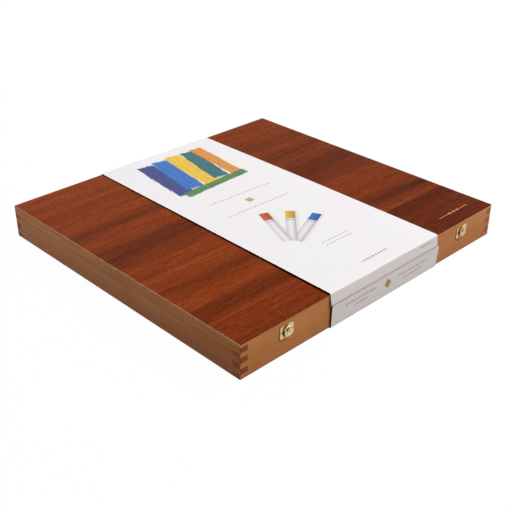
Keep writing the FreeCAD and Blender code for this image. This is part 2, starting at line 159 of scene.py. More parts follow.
class Graph:
    """A new material, with short calls for the nodes that feed its shader."""

    def __init__(self, name, **shader_values):
        self.material = bpy.data.materials.new(name)
        self.material.use_nodes = True
        self.tree = self.material.node_tree
        self.shader = self.tree.nodes["Principled BSDF"]
        for socket, value in shader_values.items():
            self.shader.inputs[socket.replace("_", " ")].default_value = value
        coordinates = self.tree.nodes.new("ShaderNodeTexCoord")
        self.place = coordinates.outputs["Object"]
        self.facing = coordinates.outputs["Normal"]

    def put(self, node, socket, value):
        if isinstance(value, bpy.types.NodeSocket):
            self.tree.links.new(value, node.inputs[socket])
        else:
            node.inputs[socket].default_value = value

    def math(self, operation, *values, clamp=False):
        node = self.tree.nodes.new("ShaderNodeMath")
        node.operation = operation
        node.use_clamp = clamp
        for index, value in enumerate(values):
            self.put(node, index, value)
        return node.outputs[0]

    def split(self, vector):
        node = self.tree.nodes.new("ShaderNodeSeparateXYZ")
        self.put(node, 0, vector)
        return node.outputs

    def stretch(self, vector, scale):
        node = self.tree.nodes.new("ShaderNodeMapping")
        self.put(node, "Vector", vector)
        self.put(node, "Scale", scale)
        return node.outputs[0]

    def local(self, vector, centre, angle=0.0):
        """Coordinates round a centre, turned by an angle in degrees."""
        node = self.tree.nodes.new("ShaderNodeMapping")
        node.vector_type = "TEXTURE"
        self.put(node, "Vector", vector)
        self.put(node, "Location", centre)
        self.put(node, "Rotation", (0, 0, math.radians(angle)))
        return node.outputs[0]

    def noise(self, vector, scale, detail=2.0, roughness=0.5, distortion=0.0):
        node = self.tree.nodes.new("ShaderNodeTexNoise")
        self.put(node, "Vector", vector)
        self.put(node, "Scale", scale)
        self.put(node, "Detail", detail)
        self.put(node, "Roughness", roughness)
        self.put(node, "Distortion", distortion)
        return node.outputs[0]

    def cells(self, vector, scale):
        node = self.tree.nodes.new("ShaderNodeTexVoronoi")
        self.put(node, "Vector", vector)
        self.put(node, "Scale", scale)
        return node.outputs["Distance"]

    def span(self, value, low, high, to_low=0.0, to_high=1.0, smooth=False):
        """Carries low..high over to to_low..to_high, and holds the ends."""
        node = self.tree.nodes.new("ShaderNodeMapRange")
        if smooth:
            node.interpolation_type = "SMOOTHSTEP"
        for socket, given in enumerate((value, low, high, to_low, to_high)):
            self.put(node, socket, given)
        return node.outputs[0]

    def ramp(self, factor, stops, stepped=False):
        node = self.tree.nodes.new("ShaderNodeValToRGB")
        if stepped:
            node.color_ramp.interpolation = "CONSTANT"
        elements = node.color_ramp.elements
        while len(elements) < len(stops):
            elements.new(0.5)
        for element, (position, colour) in zip(elements, stops):
            element.position = position
            element.color = colour
        self.put(node, 0, factor)
        return node.outputs[0]

    def mix(self, factor, first, second, kind="MIX"):
        node = self.tree.nodes.new("ShaderNodeMix")
        node.data_type = "RGBA"
        node.blend_type = kind
        self.put(node, 0, factor)
        self.put(node, 6, first)
        self.put(node, 7, second)
        return node.outputs[2]

    def near(self, value, middle, half, soft):
        """1 where value lies within half of middle, and 0 elsewhere."""
        away = self.math("ABSOLUTE", self.math("SUBTRACT", value, middle))
        return self.span(away, half - soft, half + soft, 1.0, 0.0)

    def colour(self, value):
        self.put(self.shader, "Base Color", value)

    def roughness(self, value):
        self.put(self.shader, "Roughness", value)

    def bump(self, height, depth, strength=1.0):
        node = self.tree.nodes.new("ShaderNodeBump")
        self.put(node, "Height", height)
        self.put(node, "Distance", depth)
        self.put(node, "Strength", strength)
        self.put(self.shader, "Normal", node.outputs[0])


def along_grain(grain, along, across):
    scale = [across, across, across]
    scale[grain] = along
    return scale


def side_grain(g, grain, streaks, lines):
    patches = g.noise(g.stretch(g.place, along_grain(grain, 14, 20)), 1, 4, 0.65)
    share = g.math("ADD", g.math("MULTIPLY", patches, 0.6), g.math("MULTIPLY", streaks, 0.4))
    stops = [(0.0, tone(192, 120, 58)), (0.5, tone(207, 136, 72)), (1.0, tone(218, 150, 86))]
    side = g.ramp(g.span(share, 0.3, 0.7), stops)
    return g.mix(1.0, side, g.span(lines, 0.36, 0.52, 0.9, 1.0), "MULTIPLY")


def end_grain(g, grain, x):
    """The darker wood of the fingers' ends, lighter towards the right."""
    rings = g.noise(g.stretch(g.place, along_grain(grain, 60, 330)), 1, 3, 0.7, 0.6)
    dots = g.noise(g.place, 2400, 1, 0.5)
    end = g.ramp(g.span(rings, 0.3, 0.7), [(0.0, tone(134, 70, 16)), (1.0, tone(166, 94, 30))])
    end = g.mix(1.0, end, g.span(dots, 0.35, 0.6, 0.84, 1.0), "MULTIPLY")
    return g.mix(1.0, end, g.span(x, 0, half_width, 1.0, 1.6), "MULTIPLY")


def paint_edge_highlights(g, colour, x, y, z):
    """Painted highlights: paler wood on the upright corners and along the parting line, where edges catch
    the light.
    """
    # Painted highlight along the upright corners, with a ragged edge.
    reach = g.math("ADD", g.math("ABSOLUTE", x), g.math("ABSOLUTE", y))
    ragged_reach = g.math("ADD", reach, g.math("MULTIPLY", g.noise(g.place, 260, 3), 1.2 * mm))
    corner = half_width + half_depth
    corner_highlight = g.span(ragged_reach, corner - 0.3 * mm, corner + 0.4 * mm, 0.0, 0.4)
    colour = g.mix(corner_highlight, colour, tone(226, 160, 100))
    # Painted highlight on the wood on both sides of the parting line, over the dark gap.
    parting_highlight = g.near(z, (base_top + lid_low) / 2, 0.9 * mm, 0.4 * mm)
    return g.mix(g.math("MULTIPLY", parting_highlight, 0.16), colour, tone(236, 182, 126))


def case_wood(name, grain):
    """Golden brown stained hardwood; grain is 0 along X and 1 along Y."""
    g = Graph(name, Specular_IOR_Level=0.16)
    x, y, z = g.split(g.place)
    streaks = g.noise(g.stretch(g.place, along_grain(grain, 7, 230)), 1, 4, 0.65, 0.3)
    lines = g.noise(g.stretch(g.place, along_grain(grain, 30, 1300)), 1, 2, 0.7)
    straight = g.math("ABSOLUTE", g.split(g.facing)[grain])
    ends_only = g.span(straight, 0.72, 0.9)
    colour = g.mix(ends_only, side_grain(g, grain, streaks, lines), end_grain(g, grain, x))
    colour = paint_edge_highlights(g, colour, x, y, z)
    on_front = g.span(y, -half_depth + 1 * mm, -half_depth + 2 * mm, 1.0, 0.0)
    # Painted shade behind the catches, and painted shadows round their plates and under the card, on the
    # front face only.
    dark = g.math("MULTIPLY", painted_shade_places(g, x, z), on_front)
    colour = g.mix(dark, colour, tone(52, 24, 8))
    # Painted shade and sheen: darker and warmer towards the bottom, lighter towards the top.
    painted_height_shade = g.ramp(g.span(z, 0, lid_top), [(0.0, (0.8, 0.7, 0.6, 1)), (0.8, (1, 1, 1, 1))])
    colour = g.mix(1.0, colour, painted_height_shade, "MULTIPLY")
    # Painted shadow along the bottom edge, where the case meets the floor.
    foot_shadow = g.span(z, 0.8 * mm, 2.6 * mm, 0.3, 1.0, smooth=True)
    colour = g.mix(1.0, colour, foot_shadow, "MULTIPLY")
    if grain == 1:
        # Painted sheen on the end boards: lighter and cooler towards the back, darker and warmer towards
        # the front.
        depth_sheen = g.mix(g.span(y, -half_depth, half_depth), (0.86, 0.78, 0.64, 1), (1.2, 1.22, 1.36, 1))
        colour = g.mix(1.0, colour, depth_sheen, "MULTIPLY")
    g.colour(colour)
    g.roughness(g.span(streaks, 0.3, 0.7, 0.52, 0.38))
    g.bump(g.math("ADD", lines, g.math("MULTIPLY", streaks, 0.6)), 0.06 * mm, 0.6)
    return g.material


def painted_shade_places(g, x, z):
    """Painted shade: darker wood behind the catches, and painted shadows round their plates and under the
    card.
    """
    # Painted shade on the wood behind each catch, seen through the openings of its plates.
    beside = g.math("ABSOLUTE", g.math("SUBTRACT", g.math("ABSOLUTE", x), catch_x))
    across = g.span(beside, catch_shade_half_width - 0.5 * mm, catch_shade_half_width + 0.5 * mm, 0.92, 0.0)
    catch_shade = g.math("MULTIPLY", across, g.near(z, catch_shade_z, catch_shade_half_height, 1 * mm))
    # Painted shadow in a narrow ring round each catch's plates.
    up = g.math("ABSOLUTE", g.math("SUBTRACT", z, catch_z))
    past_side = g.math("SUBTRACT", beside, catch_width / 2)
    past_end = g.math("SUBTRACT", up, catch_height / 2)
    plate_shadow = g.span(g.math("MAXIMUM", past_side, past_end), 0.2 * mm, 1.3 * mm, 0.6, 0.0)
    # Painted shadow of the card's flaps on the front wood under the band.
    middle = (band_left + band_right) / 2
    card_shadow = g.near(x, middle, (band_right - band_left) / 2 - 0.4 * mm, 0.6 * mm)
    return g.math("MAXIMUM", g.math("MAXIMUM", catch_shade, plate_shadow), g.math("MULTIPLY", card_shadow, 0.8))


def ribbon_veneer(name, tones, ribbons, right_shade, offset):
    """Reddish veneer with dark ribbons along X, and darker to the right.

    Each ribbon has its place in Y, at the left and at the right of the lid,
    its half width, and its depth at the left and at the right.
    """
    g = Graph(name, Specular_IOR_Level=0.015)
    moved = g.local(g.place, offset)
    x, y, z = g.split(g.place)
    bands = g.noise(g.stretch(moved, (5, 120, 120)), 1, 4, 0.62, 0.3)
    streaks = g.noise(g.stretch(moved, (26, 480, 480)), 1, 3, 0.7)
    pores = g.noise(g.stretch(moved, (90, 1500, 1500)), 1, 2, 0.6)
    flecks = g.noise(g.stretch(moved, (300, 640, 640)), 1, 2, 0.7)
    share = g.math("ADD", g.math("MULTIPLY", bands, 0.5), g.math("MULTIPLY", streaks, 0.5))
    colour = g.ramp(g.span(share, 0.32, 0.68), [(0.0, tones[0]), (0.5, tones[1]), (1.0, tones[2])])
    colour = g.mix(1.0, colour, g.span(pores, 0.36, 0.54, 0.58, 1.04), "MULTIPLY")
    colour = g.mix(1.0, colour, g.span(flecks, 0.3, 0.7, 0.72, 1.24), "MULTIPLY")

    wander = g.math("MULTIPLY", g.noise(g.stretch(moved, (4, 10, 10)), 1, 3), ribbon_wander)
    line = g.math("SUBTRACT", g.math("ADD", y, wander), ribbon_wander / 2)
    shade = g.span(x, -90 * mm, 130 * mm, 1.0, right_shade)
    for left, right, half, left_depth, right_depth in ribbons:
        middle = g.span(x, -half_width, half_width, left * mm, right * mm)
        away = g.math("ABSOLUTE", g.math("SUBTRACT", line, middle))
        deepest = g.span(x, -half_width, half_width, 1 - left_depth, 1 - right_depth)
        shade = g.math("MULTIPLY", shade, g.span(away, 0, half * mm, deepest, 1.0, smooth=True))
    colour = g.mix(1.0, colour, shade, "MULTIPLY")

    # Painted highlight: a pale line along the lid's left and right top edges.
    side = g.span(g.math("ABSOLUTE", x), half_width - 0.8 * mm, half_width - 0.3 * mm, 0.0, 0.85)
    patchy = g.span(bands, 0.3, 0.6, 0.55, 1.0)
    colour = g.mix(g.math("MULTIPLY", side, patchy), colour, tone(240, 194, 162))
    # Painted shadow of the card band on the veneer.
    colour = g.mix(1.0, colour, shade_under_card(g, x, y), "MULTIPLY")
    g.roughness(g.span(streaks, 0.3, 0.7, 0.46, 0.34))
    g.bump(g.math("ADD", pores, g.math("MULTIPLY", streaks, 0.5)), 0.05 * mm, 0.5)
    return g, colour


def shade_under_card(g, x, y):
    """Painted shadow of the card band: 1 on open veneer, and low under the band and in a thin strip beside
    its left edge.
    """
    start = band_left - cover_out
    left_edge = g.span(y, -half_depth, half_depth, start, start + cover_left_skew)
    card_shadow = g.span(g.math("SUBTRACT", x, left_edge), -0.9 * mm, -0.1 * mm, 1.0, 0.2)
    beyond = g.span(x, band_right - 1.5 * mm, band_right - 1 * mm)
    return g.math("MAXIMUM", card_shadow, beyond)


def rear_veneer():
    tones = tone(110, 45, 15), tone(142, 60, 20), tone(166, 75, 26)
    ribbons = (
        (-86, -108, 22, 0.24, 0.6),
        (-8, -16, 14, 0.1, 0.24),
        (12, 26, 50, 0.46, 0.42),
        (82, 90, 24, 0.36, 0.26),
        (144, 130, 22, 0.14, 0.26),
    )
    g, colour = ribbon_veneer("ribbon_veneer_rear", tones, ribbons, 0.82, (0.31, 0.12, 0))
    g.colour(colour)
    return g.material


def front_veneer():
    """The front leaf, with a thin gilt rule and three small squares at its right."""
    tones = tone(104, 39, 14), tone(134, 54, 20), tone(158, 70, 26)
    ribbons = ((-214, -214, 22, 0.26, 0.2), (-145, -148, 20, 0.34, 0.36))
    g, colour = ribbon_veneer("ribbon_veneer_front", tones, ribbons, 0.6, (-0.4, 0.57, 0))
    middle = g.local(g.place, (172 * mm, -190 * mm, 0))
    u, v = g.split(middle)[0], g.split(middle)[1]
    gilt = g.math("MULTIPLY", g.near(u, 0, 30 * mm, 0.2 * mm), g.near(v, 0, 0.5 * mm, 0.2 * mm))
    for across in (-8 * mm, 0, 8 * mm):
        mark = square(g, g.local(middle, (across, 0, 0)), 1.7 * mm)
        gilt = g.math("ADD", gilt, mark, clamp=True)
    top_only = g.span(g.split(g.facing)[2], 0.8, 0.9)
    g.colour(g.mix(g.math("MULTIPLY", gilt, top_only), colour, tone(206, 150, 96)))
    return g.material


def square(g, vector, reach):
    u, v = g.split(vector)[0], g.split(vector)[1]
    away = g.math("MAXIMUM", g.math("ABSOLUTE", u), g.math("ABSOLUTE", v))
    return g.span(away, reach - 0.25 * mm, reach + 0.25 * mm, 1.0, 0.0)


def lozenge(g, vector, reach):
    u, v = g.split(vector)[0], g.split(vector)[1]
    away = g.math("ADD", g.math("ABSOLUTE", u), g.math("ABSOLUTE", v))
    return g.span(away, reach - 0.25 * mm, reach + 0.25 * mm, 1.0, 0.0)


def plywood(name, tint):
    """Thin plies on the edge, straight grain on the face."""
    g = Graph(name, Specular_IOR_Level=0.3)
    streaks = g.noise(g.stretch(g.place, (8, 210, 60)), 1, 4, 0.65, 0.4)
    lines = g.noise(g.stretch(g.place, (40, 1400, 1400)), 1, 2)
    face = g.ramp(g.span(streaks, 0.3, 0.7), [(0.0, tint[0]), (0.5, tint[1]), (1.0, tint[2])])
    face = g.mix(1.0, face, g.span(lines, 0.36, 0.52, 0.88, 1.0), "MULTIPLY")
    height = g.split(g.place)[2]
    wander = g.math("MULTIPLY", g.noise(g.place, 60, 2), 0.25 * mm)
    ply = g.math("FRACT", g.math("DIVIDE", g.math("ADD", height, wander), 1.1 * mm))
    edge_share = g.span(g.math("ABSOLUTE", g.split(g.facing)[2]), 0.3, 0.6, 1.0, 0.0)
    glue = g.math("MULTIPLY", g.span(ply, 0.08, 0.16, 0.12, 0.0), edge_share)
    g.colour(g.mix(glue, face, tone(150, 92, 50)))
    g.roughness(g.span(streaks, 0.3, 0.7, 0.62, 0.46))
    g.bump(lines, 0.04 * mm, 0.5)
    return g.material


def stamped_brass():
    g = Graph("stamped_brass", Metallic=1.0)
    cloud = g.noise(g.place, 420, 3, 0.6)
    scratch = g.noise(g.stretch(g.place, (300, 5200, 5200)), 1, 2, 0.6)
    colour = g.ramp(
        g.span(cloud, 0.3, 0.72),
        [
            (0.0, tone(196, 166, 118)),
            (0.6, tone(216, 190, 146)),
            (1.0, tone(228, 204, 162)),
        ],
    )
    g.colour(colour)
    g.roughness(g.span(scratch, 0.3, 0.7, 0.26, 0.42))
    g.bump(scratch, 0.01 * mm, 0.5)
    return g.material


def drawn_steel():
    g = Graph("drawn_steel", Metallic=1.0)
    scratch = g.noise(g.stretch(g.place, (200, 3800, 3800)), 1, 3, 0.6)
    g.colour(g.ramp(g.span(scratch, 0.3, 0.7), [(0.0, tone(158, 158, 160)), (1.0, tone(208, 208, 208))]))
    g.roughness(g.span(scratch, 0.3, 0.7, 0.24, 0.4))
    return g.material


def fine_foam():
    """Dark foam with fine cells."""
    g = Graph("fine_foam", Specular_IOR_Level=0.2)
    cells = g.cells(g.place, 1500)
    cloud = g.noise(g.place, 90, 3, 0.6)
    shade = g.math("MULTIPLY", g.span(cells, 0.1, 0.6, 0.55, 1.0), g.span(cloud, 0.3, 0.7, 0.85, 1.0))
    g.colour(g.mix(shade, tone(26, 26, 29), tone(66, 66, 70)))
    g.roughness(g.span(cells, 0.1, 0.6, 0.98, 0.82))
    g.bump(cells, 0.2 * mm, 0.7)
    return g.material


def stick_rows(g):
    """The number of a stick's row, plus the share of the row that lies before a point."""
    y = g.split(g.place)[1]
    return g.math("DIVIDE", g.math("ADD", y, inner_half_depth), row_pitch)


def pigment():
    """Waxy colour, one for each of the thirty-six sticks."""
    rows_of_colours = (
        [(250, 246, 236), (250, 232, 120), (246, 204, 30), (240, 168, 24), (232, 118, 28), (220, 74, 34),
         (200, 34, 38), (166, 22, 48), (206, 74, 112), (232, 148, 160), (236, 184, 152), (214, 146, 100)],
        [(136, 62, 118), (92, 44, 124), (58, 46, 130), (34, 58, 150), (24, 88, 178), (50, 132, 204),
         (120, 178, 220), (42, 154, 170), (18, 116, 112), (20, 102, 66), (62, 136, 62), (138, 170, 52)],
        [(196, 200, 84), (122, 120, 52), (196, 142, 52), (172, 96, 42), (140, 66, 38), (104, 52, 34),
         (72, 44, 34), (120, 112, 104), (168, 164, 158), (94, 100, 110), (52, 54, 60), (24, 24, 26)],
    )
    g = Graph("pigment", Specular_IOR_Level=0.4)
    x = g.split(g.place)[0]
    columns = g.math("DIVIDE", g.math("ADD", x, inner_half_width), column_pitch * column_count)
    rows = stick_rows(g)
    colour = None
    for row, colours in enumerate(rows_of_colours):
        stops = [(index / column_count, tone(*given)) for index, given in enumerate(colours)]
        shades = g.ramp(columns, stops, stepped=True)
        is_later = g.math("GREATER_THAN", rows, float(row))
        colour = shades if colour is None else g.mix(is_later, colour, shades)
    smear = g.noise(g.stretch(g.place, (500, 90, 500)), 1, 3, 0.65)
    crumb = g.noise(g.place, 1600, 2, 0.6)
    colour = g.mix(1.0, colour, g.span(smear, 0.3, 0.7, 0.84, 1.0), "MULTIPLY")
    g.colour(colour)
    g.roughness(g.span(crumb, 0.3, 0.7, 0.42, 0.66))
    g.bump(g.math("ADD", smear, g.math("MULTIPLY", crumb, 0.5)), 0.12 * mm, 0.6)
    return g.material


def wrapper_paper():
    """Cream paper with plain printed bands across each stick."""
    g = Graph("wrapper_paper", Specular_IOR_Level=0.3)
    distance = g.math("MULTIPLY", g.math("FRACT", stick_rows(g)), row_pitch)
    fibres = g.noise(g.stretch(g.place, (900, 300, 900)), 1, 3, 0.6)
    paper = g.ramp(g.span(fibres, 0.3, 0.7), [(0.0, tone(226, 221, 208)), (1.0, tone(240, 236, 226))])
    wide = g.near(distance, 92 * mm, 5 * mm, 0.2 * mm)
    thin = g.near(distance, 83 * mm, 0.6 * mm, 0.15 * mm)
    foot = g.near(distance, 12 * mm, 1.2 * mm, 0.15 * mm)
    colour = g.mix(wide, paper, tone(60, 72, 96))
    colour = g.mix(thin, colour, tone(60, 72, 96))
    colour = g.mix(foot, colour, tone(176, 146, 96))
    g.colour(colour)
    g.roughness(g.span(fibres, 0.3, 0.7, 0.72, 0.58))
    g.bump(fibres, 0.03 * mm, 0.5)
    return g.material


def stroke_mask(g, centre, length, width, angle):
    """A chalky stroke with ragged sides and paper showing through."""
    vector = g.local(g.place, (centre[0] * mm, centre[1] * mm, 0), angle)
    u, v = g.split(vector)[0], g.split(vector)[1]
    rough = g.noise(g.stretch(vector, (70, 360, 360)), 1, 5, 0.9)
    rag = g.math("MULTIPLY", g.math("SUBTRACT", rough, 0.5), 12 * mm)
    across = g.near(g.math("ADD", v, rag), 0.0, width / 2 * mm, 0.5 * mm)
    along = g.near(g.math("ADD", u, g.math("MULTIPLY", rag, 1.5)), 0.0, length / 2 * mm, 0.6 * mm)
    tooth = g.span(g.noise(g.place, 1500, 2, 0.7), 0.3, 0.42, 0.7, 1.0)
    return g.math("MULTIPLY", g.math("MULTIPLY", across, along), tooth), rough


def draw_strokes(g, colour):
    """Loose colour trials, side by side, with one across their feet."""
    strokes = (
        ((-37, 135), 108, 25, 84, (24, 42, 104), (44, 54, 128)),
        ((-13, 140), 102, 27, 80, (18, 78, 158), (40, 120, 198)),
        ((13, 137), 112, 26, 83, (212, 158, 28), (242, 208, 66)),
        ((37, 141), 98, 24, 79, (26, 70, 112), (26, 112, 100)),
        ((58, 139), 104, 19, 85, (198, 116, 36), (228, 154, 60)),
        ((9, 82), 112, 14, 3, (34, 92, 76), (90, 138, 66)),
    )
    for centre, length, width, angle, dark, light in strokes:
        mask, rough = stroke_mask(g, centre, length, width, angle)
        shade = g.mix(g.span(rough, 0.32, 0.62), tone(*dark), tone(*light))
        colour = g.mix(mask, colour, shade)
    return colour


def draw_sticks(g, colour):
    """Three plain crayons laid as a fan, each with a soft shadow."""
    fan = ((24, (58, 110, 196)), (46, (232, 190, 60)), (68, (206, 92, 52)))
    length, width = 78 * mm, 13 * mm
    foot, foot_gap = Vector((-44, -112, 0)) * mm, 14 * mm
    cast_shift, cast_soft = Vector((3, -2, 0)) * mm, 2 * mm
    tip_length, rule_gap = 20 * mm, 4 * mm
    for angle, tip in fan:
        way = Vector((math.cos(math.radians(angle)), math.sin(math.radians(angle)), 0))
        centre = foot + way * (length / 2 + foot_gap)
        shifted = g.local(g.place, centre + cast_shift, angle)
        u, v = g.split(shifted)[0], g.split(shifted)[1]
        long_cast = g.near(u, 0, length / 2, cast_soft)
        wide_cast = g.near(v, 0, width / 2, cast_soft)
        cast = g.math("MULTIPLY", long_cast, wide_cast)
        colour = g.mix(g.math("MULTIPLY", cast, 0.35), colour, tone(206, 184, 172))
        vector = g.local(g.place, centre, angle)
        u, v = g.split(vector)[0], g.split(vector)[1]
        body = g.math("MULTIPLY", g.near(u, 0, length / 2, 0.2 * mm), g.near(v, 0, width / 2, 0.2 * mm))
        round_share = g.span(v, -width / 2, width / 2)
        shade = g.ramp(
            round_share,
            [(0.0, tone(176, 176, 182)), (0.45, tone(236, 236, 238)), (1.0, tone(206, 206, 212))],
        )
        tip_start = length / 2 - tip_length
        bare = g.span(u, tip_start, tip_start + 0.6 * mm)
        rule = g.near(u, tip_start - rule_gap, 0.7 * mm, 0.15 * mm)
        bright = g.mix(round_share, tone(*[part * 0.72 for part in tip]), tone(*tip))
        shade = g.mix(bare, shade, bright)
        shade = g.mix(rule, shade, tone(150, 150, 158))
        colour = g.mix(body, colour, shade)
    return colour


def dashes(g, vector, half, thick, pitch):
    """A row of even dashes along the first axis of the given coordinates."""
    u, v = g.split(vector)[0], g.split(vector)[1]
    ahead = 50.0  # whole dashes, so that the count stays above zero
    beat = g.math("FRACT", g.math("ADD", g.math("DIVIDE", u, pitch), ahead))
    marks = g.near(beat, 0.5, 0.3, 0.06)
    row = g.math("MULTIPLY", g.near(u, 0, half, 0.1 * mm), g.near(v, 0, thick, 0.15 * mm))
    return g.math("MULTIPLY", row, marks)


def print_top(g, colour, tan, grey):
    """The print on the upper side: strokes, crayons, and rows of dashes."""
    top = draw_strokes(g, colour)
    top = draw_sticks(g, top)
    for x, y, half, angle in ((8, 34.3, 53, -2.5), (6, -6.2, 56, -1)):
        row = dashes(g, g.local(g.place, (x * mm, y * mm, 0), angle), half * mm, 1.1 * mm, 6.6 * mm)
        top = g.mix(g.math("MULTIPLY", row, 0.8), top, tan)
    top = g.mix(square(g, g.local(g.place, (5.5 * mm, 13.3 * mm, 0)), 5 * mm), top, tan)
    for y in (-131, -138.4):
        rule = dashes(g, g.local(g.place, (9.5 * mm, y * mm, 0)), 23.5 * mm, 0.7 * mm, 4.7 * mm)
        top = g.mix(g.math("MULTIPLY", rule, 0.8), top, grey)
    squares = dashes(g, g.local(g.place, (10 * mm, -192.5 * mm, 0)), 22.5 * mm, 1.7 * mm, 5 * mm)
    return g.mix(g.math("MULTIPLY", squares, 0.8), top, tone(170, 132, 108))


def print_front(g, colour, x, z, grey):
    """The print on the front flaps, under a painted warm cast that stands in for warmer light in front."""
    joined = g.tree.nodes.new("ShaderNodeCombineXYZ")
    g.put(joined, 0, x)
    g.put(joined, 1, z)
    upright = joined.outputs[0]
    rows = (
        (-38, 21.0, 26, 0.9),
        (-37, 14.4, 11.5, 0.8),
        (58, 19.6, 28, 0.9),
        (58.5, 12.9, 18.5, 0.8),
        (82, 41.3, 12, 0.8),
    )
    for middle, height, half, thick in rows:
        row = dashes(g, g.local(upright, (middle * mm, height * mm, 0)), half * mm, thick * mm, 4.6 * mm)
        colour = g.mix(g.math("MULTIPLY", row, 0.85), colour, grey)
    mark = lozenge(g, g.local(upright, (10.7 * mm, 17.4 * mm, 0)), 6.5 * mm)
    colour = g.mix(mark, colour, tone(186, 148, 108))
    # Painted warm cast over the card in front.
    return g.mix(1.0, colour, (1.0, 0.94, 0.9, 1), "MULTIPLY")


def white_card():
    """Smooth white card, printed with plain ornament on top and in front."""
    g = Graph("white_card", Specular_IOR_Level=0.3)
    x, y, z = g.split(g.place)
    fibres = g.noise(g.place, 900, 4, 0.6)
    cloud = g.noise(g.place, 14, 2, 0.5)
    paper = g.ramp(g.span(fibres, 0.3, 0.7), [(0.0, tone(238, 237, 238)), (1.0, tone(245, 244, 245))])
    paper = g.mix(g.span(cloud, 0.35, 0.7, 0.0, 0.25), paper, tone(238, 235, 236))
    tan, grey = tone(196, 164, 122), tone(142, 133, 128)
    print_low, print_high = 44 * mm, 45 * mm
    up = g.span(g.split(g.facing)[2], 0.75, 0.85)
    forward = g.span(g.split(g.facing)[1], -0.75, -0.85)
    on_top = g.math("MULTIPLY", up, g.span(z, print_low, print_high))
    in_front = g.math("MULTIPLY", forward, g.span(y, -half_depth - 0.1 * mm, -half_depth - 0.3 * mm))
    colour = g.mix(on_top, paper, print_top(g, paper, tan, grey))
    colour = g.mix(in_front, colour, print_front(g, paper, x, z, grey))
    # Painted shadow in the groove between the two front flaps, under the upper flap's foot.
    fold_shadow = g.near(z, base_top - 0.3 * mm, 0.55 * mm, 0.3 * mm)
    fold_shadow = g.math("MULTIPLY", fold_shadow, g.span(y, -half_depth, -half_depth + 20 * mm, 0.7, 0.0))
    g.colour(g.mix(fold_shadow, colour, tone(96, 70, 56)))
    g.roughness(g.span(fibres, 0.3, 0.7, 0.62, 0.52))
    g.bump(g.math("ADD", fibres, g.math("MULTIPLY", cloud, 2.0)), 0.02 * mm, 0.5)
    return g.material


def dress_frame():
    """Gives every CAD solid that shows its own material."""
    wood_x, wood_y = case_wood("case_wood_along_x", 0), case_wood("case_wood_along_y", 1)
    golden = (tone(188, 119, 61), tone(206, 136, 75), tone(220, 152, 90))
    pale = (tone(188, 146, 98), tone(208, 170, 122), tone(222, 188, 142))
    brass, steel, paper, colours = stamped_brass(), drawn_steel(), wrapper_paper(), pigment()
    chosen = (
        ("front_board", wood_x),
        ("back_board", wood_x),
        ("left_board", wood_y),
        ("right_board", wood_y),
        ("bottom_panel", plywood("plywood_base", pale)),
        ("panel_core", plywood("plywood_lid", golden)),
        ("veneer_front", front_veneer()),
        ("veneer_rear", rear_veneer()),
        ("hinge_left_pin", steel),
        ("hinge_right_pin", steel),
        ("hinge_", brass),
        ("catch_", brass),
        ("wrappers_", paper),
        ("sticks_", colours),
    )
    for name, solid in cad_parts.items():
        for part, material in chosen:
            if part in name:
                for place in solid.material_slots:
                    place.material = material
                break


def build_mesh(name, points, faces, material, body):
    """A new smooth-shaded piece that rides on a body."""
    mesh = bpy.data.meshes.new(name)
    mesh.from_pydata(points, [], faces)
    mesh.update()
    work = bmesh.new()
    work.from_mesh(mesh)
    bmesh.ops.remove_doubles(work, verts=work.verts, dist=weld_distance)
    bmesh.ops.recalc_face_normals(work, faces=work.faces)
    for edge in work.edges:
        if len(edge.link_faces) == 2 and edge.calc_face_angle(0) > sharp_angle:
            edge.smooth = False
    for face in work.faces:
        face.smooth = True
    work.to_mesh(mesh)
    work.free()
    mesh.materials.append(material)
    piece = bpy.data.objects.new(name, mesh)
    bpy.context.scene.collection.objects.link(piece)
    if body:
        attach(piece, body)
    return piece


def rounded_path(corners, radii):
    """Points along straight runs and round bends in the plane of Y and Z."""
    path = []
    last = len(corners) - 1
    for index, corner in enumerate(corners):
        here = Vector(corner)
        if index in (0, last) or radii[index] == 0:
            path.append(here)
            continue
        before = (Vector(corners[index - 1]) - here).normalized()
        after = (Vector(corners[index + 1]) - here).normalized()
        half_angle = before.angle(after) / 2
        cut = radii[index] / math.tan(half_angle)
        middle = here + (before + after).normalized() * (radii[index] / math.sin(half_angle))
        start, end = here + before * cut - middle, here + after * cut - middle
        steps = 8
        for step in range(steps + 1):
            mixed = start.lerp(end, step / steps)
            path.append(middle + mixed.normalized() * radii[index])
    fine = [path[0]]
    for point in path[1:]:
        run = point - fine[-1]
        pieces = max(1, math.ceil(run.length / path_step))
        origin = fine[-1].copy()
        for step in range(1, pieces + 1):
            fine.append(origin + run * (step / pieces))
    return fine


